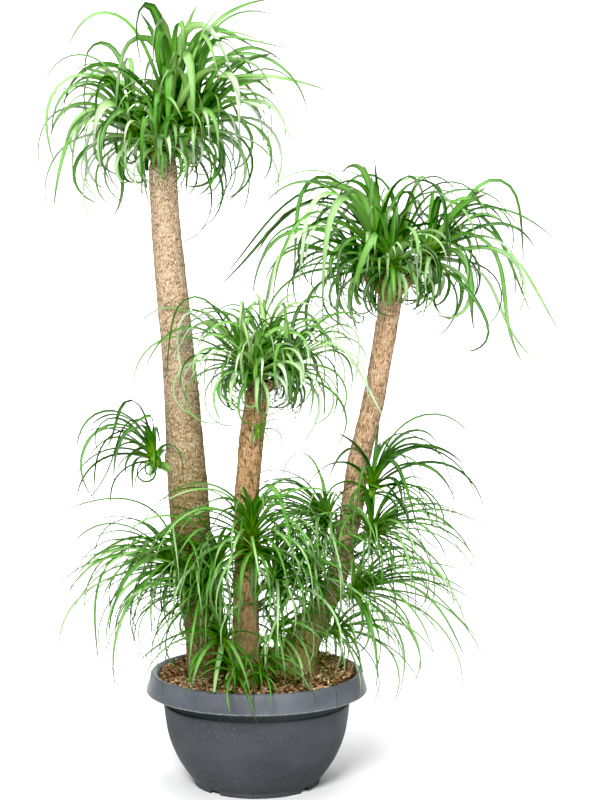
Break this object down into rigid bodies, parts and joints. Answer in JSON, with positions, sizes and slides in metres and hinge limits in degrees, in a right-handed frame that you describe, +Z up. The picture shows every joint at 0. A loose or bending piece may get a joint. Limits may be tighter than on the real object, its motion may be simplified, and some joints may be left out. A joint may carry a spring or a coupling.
{
  "type": "potted ponytail palm",
  "caption": "Branched ponytail palm with bare woody trunks, crowns of long arching strap leaves and leafy shoots at the feet, in a wide round bowl.",
  "frame": {"origin": "centre of the bowl's base, on the floor", "axes": "+Z up along the plant, -Y the front that the picture shows, +X to the picture's right"},
  "size_m": [1.1578, 0.7006, 1.7609],
  "materials": {
    "bowl_plastic": "dark anthracite moulded plastic, satin, a little dusty",
    "soil": "dark crumbly potting soil",
    "mulch": "loose reddish-brown bark chips",
    "trunk_bark": "light tan bark with dark fissures and pale flecks",
    "leaf": "smooth mid-green strap leaves with a soft sheen"
  },
  "bodies": {
    "root": {"bowl": "bowl_plastic", "potting_soil": "soil", "bark_mulch": "mulch", "trunk_tall": "trunk_bark", "trunk_middle": "trunk_bark", "trunk_right": "trunk_bark", "crown_tall": "leaf", "crown_middle": "leaf", "crown_right": "leaf", "shoot_tall_left": "leaf", "shoot_right_side": "leaf", "sprig_middle": "leaf", "basal_middle_front": "leaf", "basal_tall_upper": "leaf", "basal_tall_middle": "leaf", "basal_tall_low": "leaf", "basal_middle_left": "leaf", "basal_middle_right": "leaf", "basal_middle_high": "leaf", "basal_right_inner": "leaf", "basal_right_upper": "leaf", "basal_right_middle": "leaf", "basal_right_low": "leaf", "basal_right_left": "leaf", "sprout_front_left": "leaf", "sprout_front_right": "leaf", "basal_tall_back": "leaf", "basal_right_back": "leaf", "basal_middle_back": "leaf"}
  },
  "joints": []
}
